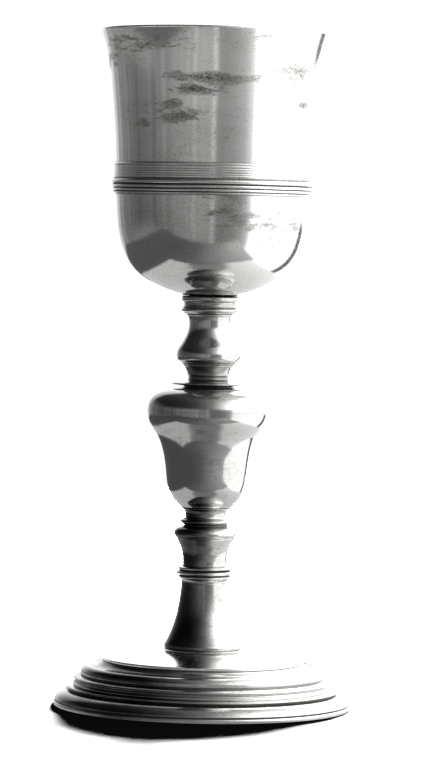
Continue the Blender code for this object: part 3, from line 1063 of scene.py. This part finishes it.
# Tone, patina, polish and strength of turning lines, for each silver piece. Tone is partly tarnish
# and partly painted shade, set piece by piece to how dark each piece is seen.
FINISH_AND_SHADE = {
    "cup_bowl": (0.95, 0.42, 0.085, 0.6),
    "cup_girdle": (0.66, 0.6, 0.14, 1.3),
    "upper_collar": (0.42, 0.8, 0.12, 1.4),
    "upper_fillet": (0.5, 0.6, 0.12, 1.0),
    "upper_baluster": (0.46, 0.7, 0.09, 1.0),
    "baluster_ring": (0.34, 0.8, 0.13, 1.6),
    "stem_flange": (0.36, 0.7, 0.12, 1.0),
    "knop_cap": (0.46, 0.7, 0.08, 0.8),
    "knop_body": (0.42, 0.55, 0.08, 0.8),
    "neck_collar": (0.46, 0.8, 0.12, 1.3),
    "lower_knop": (0.48, 0.8, 0.1, 1.1),
    "ring_collar": (0.46, 0.7, 0.11, 1.1),
    "trumpet_stem": (0.46, 0.7, 0.1, 1.1),
    "foot_plate": (0.85, 0.35, 0.1, 1.0),
    "foot_shoulder": (0.72, 0.6, 0.11, 1.4),
    "foot_step": (0.68, 0.8, 0.12, 1.5),
    "foot_skirt": (0.6, 0.8, 0.11, 1.5),
    "foot_rim": (0.75, 0.7, 0.14, 1.3),
}
# Radius in metres of the pieces whose left side gets painted shade, darker than their right.
PAINTED_SHADE_LEFT = {
    "neck_collar": 0.01,
    "lower_knop": 0.012,
    "trumpet_stem": 0.014,
    "foot_shoulder": 0.049,
    "foot_step": 0.052,
    "foot_skirt": 0.059,
    "foot_rim": 0.06,
}
BODY_OF = {n: body for body, nodes in frame["record"]["behaviour"]["bodies"].items() for n in nodes}
BRASS_NODES = ("bowl_boss", "stem_socket", "tie_rod", "foot_washer", "tie_nut")

for i, (node, finish_and_shade) in enumerate(FINISH_AND_SHADE.items()):
    seed = 1.7 * i + 0.4
    smudged, painted_shade_left = node == "cup_bowl", PAINTED_SHADE_LEFT.get(node)
    material = aged_and_shaded_silver(node + "_silver", *finish_and_shade, seed=seed, smudged=smudged, painted_shade_left=painted_shade_left)
    made[node].data.materials.append(material)
for i, node in enumerate(BRASS_NODES):
    made[node].data.materials.append(aged_brass(node + "_brass", 2.3 * i + 0.9))
made["seat_washer"].data.materials.append(leather())
for node, obj in made.items():
    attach(obj, BODY_OF[node])
    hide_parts(node)


# ---------------------------------------------------------------- floor, light and camera

PALE = (0.86, 0.86, 0.86, 1)
WHITE = (1, 1, 1, 1)
BLACK = (0, 0, 0, 1)
FLOOR_HALF = 6.0
FLOOR_Z = -0.0002
# Distances in metres between which the floor turns from lit to glowing, as far backdrop.
GLOW_FROM = 0.24
GLOW_TO = 0.55

# The pale board that the cup stands on, as the silver reflects it: outline and (x, level) stops.
BOARD_Z = -0.0001
BOARD_CORNERS = (
    (-0.17, -0.075),
    (-0.02, -0.1),
    (0.08, -0.112),
    (0.175, -0.085),
    (0.17, 0.55),
    (-0.17, 0.55),
)
BOARD_LIGHT = ((-0.2, 0.9), (0.0, 0.85), (0.17, 1.7))
# The darker table in front and to the left of it.
TABLE_Z = -0.0003
TABLE_CORNERS = (
    (-0.62, -0.36),
    (0.24, -0.36),
    (0.19, -0.08),
    (0.0, 0.0),
    (-0.16, 0.8),
    (-0.62, 0.8),
)
TABLE_LIGHT = ((-0.2, 0.14), (-0.08, 0.2), (0.05, 0.46), (0.2, 0.85))
# The stops lie within this distance of the cup's axis, and none is brighter than this level.
STAGE_LIGHT_SPAN = 0.5
STAGE_LIGHT_SCALE = 2.0
# How much light is left on the board and the table in the cup's shadow, and where that lies.
BOARD_SHADE = 0.42
TABLE_SHADE = 0.9
SHADE_CENTRE = (-0.01, -0.085)
SHADE_HALF = (1 / 15, 1 / 20)
SHADE_EDGE = (0.75, 1.25)

LAMP_SIZE = (0.42, 0.08)
LAMP_PLACE = (0.25, 1.25, 0.35)
LAMP_ENERGY = 330

# What the silver reflects: brightness round the horizon, by degrees right of the camera's side.
HORIZON = (
    (-180, 1.9), (-166, 1.5), (-152, 0.8), (-138, 0.36), (-116, 0.2), (-92, 0.16), (-72, 0.18),
    (-60, 0.25), (-38, 0.35), (-20, 0.42), (-5, 0.42), (-2.5, 0.4), (-1, 0.66), (2, 0.66),
    (4, 0.3), (12, 0.3), (24, 0.36), (36, 0.52), (45, 0.95), (49, 2.3), (82, 2.6), (88, 2.6),
    (134, 2.8), (145, 3.0), (149, 4.0), (180, 4.5),
)
# Where the bright walls end above the horizon, in degrees, by the same angles.
CEILING = ((-180, 46), (-152, 40), (-136, 6), (12, 6), (140, 6), (150, 46), (180, 46))
# How bright it is overhead, by how far the direction points to the right.
OVERHEAD = (
    (-1.0, 0.02), (-0.6, 0.05), (-0.3, 0.12), (-0.1, 0.24), (0.1, 0.4), (0.3, 0.9), (0.46, 1.8),
    (0.6, 3.4), (1.0, 5.0),
)
# No level above is brighter than this, and no direction is higher than the zenith.
LIGHT_SCALE = 5.0
ZENITH = 90
# How far above the bright walls their light takes to give way to what is overhead, in degrees.
CEILING_FADE = 20.0
# Streaks on the dark side: how fine and how strong they are, the azimuth of that side's middle,
# and the angles from it over which they fade out.
STREAK_SCALE = 0.16
STREAK_LEVELS = (0.72, 1.28)
DARK_SIDE = -80
DARK_SIDE_EDGE = (68, 78)
# At the lower left the surround is at least as bright as this, below these heights and to the
# left of these azimuths.
LOW_LEFT = 0.3
LOW_LEFT_HEIGHTS = (-16, -7)
LOW_LEFT_AZIMUTHS = (-80, -58)
# A dark post behind on the right: azimuth, edge, height of its top and level.
POST = 139
POST_EDGE = (5, 8)
POST_TOP = (-6, -2)
POST_LEVEL = 0.2
# What the floor's shadow and the camera see of the world.
SHADOW_LEVEL = 0.004
BACKDROP_LEVEL = 1.2

# The camera: lens and sensor in millimetres, the rest in metres but for its lean.
LENS = 187.2
SENSOR = 36
DISTANCE = 1.6
EYE_HEIGHT = 0.19
AIM = Vector((0.0036, 0.0, 0.1296))
LEAN = math.radians(1.2)
CLIP = (0.05, 50)


def ramp(n, value, stops, low, high, scale):
    """A grey ramp from (position, level) stops. Levels are stored as shares of scale."""
    node = n.add("ShaderNodeValToRGB")
    share = n.math("DIVIDE", n.math("SUBTRACT", value, low), high - low)
    n.link(share, node.inputs[0])
    elements = node.color_ramp.elements
    while len(elements) < len(stops):
        elements.new(0.5)
    for element, (position, level) in zip(elements, sorted(stops)):
        element.position = (position - low) / (high - low)
        element.color = (level / scale,) * 3 + (1,)
    return n.math("MULTIPLY", node.outputs[0], scale)


def slab(name, corners, z):
    """A flat stage plane with the given corners."""
    mesh = bpy.data.meshes.new(name)
    mesh.from_pydata([(x, y, z) for x, y in corners], [], [range(len(corners))])
    obj = bpy.data.objects.new(name, mesh)
    bpy.context.scene.collection.objects.link(obj)
    return obj


def flat_paint(name, colour, roughness):
    """A matt material that can also glow."""
    material, n, shader = new_material(name)
    shader.inputs["Base Color"].default_value = colour
    shader.inputs["Roughness"].default_value = roughness
    shader.inputs["Specular IOR Level"].default_value = 0.0
    shader.inputs["Emission Color"].default_value = WHITE
    return material, n, shader


def glowing(name, stops, shade):
    """A stage plane's own light, from (x, level) stops, with the cup's shadow in front of it."""
    material, n, shader = flat_paint(name, BLACK, 0.9)
    scale = [1 / half for half in SHADE_HALF]
    shift = [-centre * s for centre, s in zip(SHADE_CENTRE, scale)]
    away = n.length(n.place((*scale, 0), (*shift, 0)))
    lit = n.remap(away, *SHADE_EDGE, shade, 1.0)
    span = STAGE_LIGHT_SPAN
    across = ramp(n, n.axes(n.coords())["X"], stops, -span, span, STAGE_LIGHT_SCALE)
    n.link(n.math("MULTIPLY", lit, across), shader.inputs["Emission Strength"])
    return material


def pale_floor():
    """The floor: pale and lit round the cup, glowing far off, and clear when seen from below."""
    size = FLOOR_HALF
    floor = slab("floor", [(-size, -size), (size, -size), (size, size), (-size, size)], FLOOR_Z)
    material, n, shader = flat_paint("pale_floor", PALE, 0.95)
    glow = n.remap(n.length(n.coords()), GLOW_FROM, GLOW_TO)
    n.link(glow, shader.inputs["Emission Strength"])
    clear = n.add("ShaderNodeBsdfTransparent")
    one_sided = n.add("ShaderNodeMixShader")
    n.link(n.add("ShaderNodeNewGeometry").outputs["Backfacing"], one_sided.inputs[0])
    n.link(shader.outputs[0], one_sided.inputs[1])
    n.link(clear.outputs[0], one_sided.inputs[2])
    n.link(one_sided.outputs[0], material.node_tree.nodes["Material Output"].inputs["Surface"])
    floor.data.materials.append(material)
    floor.visible_glossy = False
    floor.visible_diffuse = False


def reflected(name, corners, z, stops, shade):
    """A stage plane that only the silver sees."""
    obj = slab(name, corners, z)
    obj.data.materials.append(glowing(name, stops, shade))
    obj.visible_camera = False
    obj.visible_diffuse = False
    obj.visible_shadow = False


def back_light():
    """The lamp behind the cup, which throws its shadow forwards."""
    lamp = bpy.data.lights.new("back_light", "AREA")
    lamp.shape = "RECTANGLE"
    lamp.size, lamp.size_y = LAMP_SIZE
    lamp.energy = LAMP_ENERGY
    obj = bpy.data.objects.new("back_light", lamp)
    bpy.context.scene.collection.objects.link(obj)
    obj.location = LAMP_PLACE
    obj.rotation_mode = "QUATERNION"
    obj.rotation_quaternion = (-Vector(LAMP_PLACE)).to_track_quat("-Z", "Y")
    obj.visible_camera = False
    obj.visible_glossy = False


def surround(n, azimuth, elevation, right):
    """How bright the silver sees the studio in each direction."""
    around = ramp(n, azimuth, HORIZON, -180, 180, LIGHT_SCALE)
    streaks = n.add("ShaderNodeTexNoise", noise_dimensions="1D")
    n.link(n.math("MULTIPLY", azimuth, STREAK_SCALE), streaks.inputs["W"])
    streaks.inputs["Scale"].default_value = 1.0
    streaks.inputs["Detail"].default_value = 4.0
    uneven = n.remap(streaks.outputs["Fac"], 0.3, 0.7, *STREAK_LEVELS)
    from_dark = n.math("ABSOLUTE", n.math("SUBTRACT", azimuth, DARK_SIDE))
    streaked = n.remap(from_dark, *DARK_SIDE_EDGE, 1.0, 0.0)
    uneven = n.plus(1.0, n.math("SUBTRACT", uneven, 1.0), streaked)
    around = n.math("MULTIPLY", around, uneven)

    below = n.remap(elevation, *LOW_LEFT_HEIGHTS, 1.0, 0.0)
    low_left = n.math("MULTIPLY", below, n.remap(azimuth, *LOW_LEFT_AZIMUTHS, 1.0, 0.0))
    around = n.blend(low_left, around, n.math("MAXIMUM", around, LOW_LEFT))
    post = n.remap(n.math("ABSOLUTE", n.math("SUBTRACT", azimuth, POST)), *POST_EDGE, 1.0, 0.0)
    post = n.math("MULTIPLY", post, n.remap(elevation, *POST_TOP, 1.0, 0.0))
    around = n.blend(post, around, POST_LEVEL)

    above = n.math("SUBTRACT", elevation, ramp(n, azimuth, CEILING, -180, 180, ZENITH))
    overhead = ramp(n, right, OVERHEAD, -1, 1, LIGHT_SCALE)
    return n.blend(n.remap(above, 0.0, CEILING_FADE), around, overhead)


def studio():
    """The world: a surround for the silver, next to nothing for the floor, a pale backdrop."""
    world = bpy.data.worlds.new("studio")
    world.use_nodes = True
    # Sampled as a light, the world would ignore the ray kinds below and fill the floor's shadow.
    world.cycles.sampling_method = "NONE"
    bpy.context.scene.world = world
    n = Nodes(world.node_tree)
    dx, dy, dz = n.axes(n.add("ShaderNodeTexCoord").outputs["Generated"])
    azimuth = n.math("ARCTAN2", dx, n.math("MULTIPLY", dy, -1.0))
    azimuth = n.math("MULTIPLY", azimuth, 180 / math.pi)
    elevation = n.math("MULTIPLY", n.math("ARCSINE", dz), 180 / math.pi)
    paths = n.add("ShaderNodeLightPath")
    level = surround(n, azimuth, elevation, dx)
    level = n.blend(paths.outputs["Is Diffuse Ray"], level, SHADOW_LEVEL)
    level = n.blend(paths.outputs["Is Camera Ray"], level, BACKDROP_LEVEL)
    background = world.node_tree.nodes["Background"]
    n.link(level, background.inputs["Strength"])
    background.inputs["Color"].default_value = WHITE


def photo_camera():
    """The camera, at the photo's viewing angle and with its slight lean."""
    camera = bpy.data.cameras.new("camera")
    camera.lens = LENS
    camera.sensor_width = SENSOR
    camera.clip_start, camera.clip_end = CLIP
    obj = bpy.data.objects.new("camera", camera)
    bpy.context.scene.collection.objects.link(obj)
    obj.location = (AIM.x, -DISTANCE, EYE_HEIGHT)
    look = AIM - obj.location
    obj.rotation_mode = "QUATERNION"
    turn = Quaternion(look.normalized(), -LEAN)
    obj.rotation_quaternion = turn @ look.to_track_quat("-Z", "Y")
    bpy.context.scene.camera = obj


pale_floor()
reflected("board", BOARD_CORNERS, BOARD_Z, BOARD_LIGHT, BOARD_SHADE)
reflected("table", TABLE_CORNERS, TABLE_Z, TABLE_LIGHT, TABLE_SHADE)
back_light()
studio()
photo_camera()
bpy.context.scene.view_settings.view_transform = "Standard"
# Light thrown back by the silver would wash out the shadow on the floor.
bpy.context.scene.cycles.caustics_reflective = False
